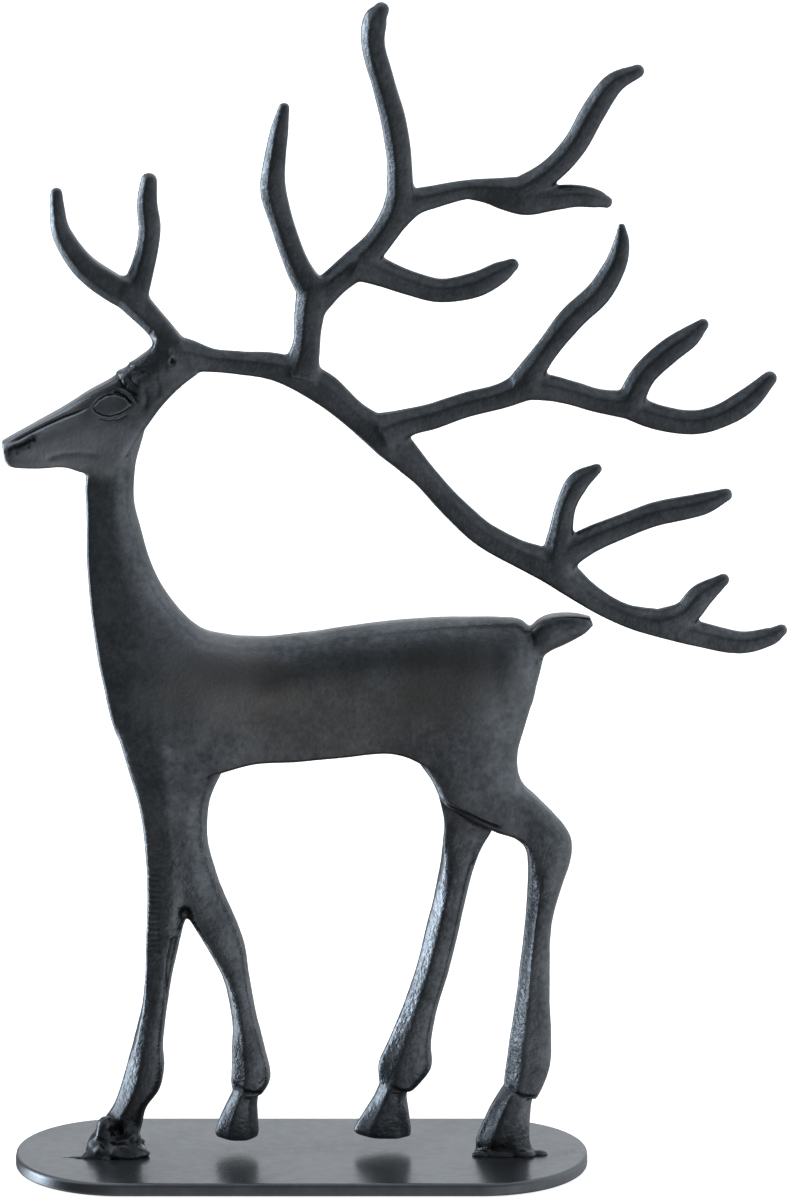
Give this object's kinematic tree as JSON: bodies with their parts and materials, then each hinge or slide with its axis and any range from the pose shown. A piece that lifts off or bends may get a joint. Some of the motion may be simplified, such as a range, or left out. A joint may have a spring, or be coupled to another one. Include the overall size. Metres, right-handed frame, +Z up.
{
  "type": "cast iron stag statue",
  "caption": "Standing stag figure with wide branching antlers, cast in one piece and welded by two feet to a thin oval base plate.",
  "frame": {"origin": "centre of the base plate's underside", "axes": "+Z up along the statue's height, the stag faces -X, and +Y is square to the figure's flat side"},
  "size_m": [0.2579, 0.076, 0.3913],
  "materials": {
    "stag_iron": "satin blackened sand-cast iron",
    "plate_iron": "satin blackened iron plate"
  },
  "bodies": {
    "root": {"stag": "stag_iron", "base_plate": "plate_iron"}
  },
  "joints": []
}
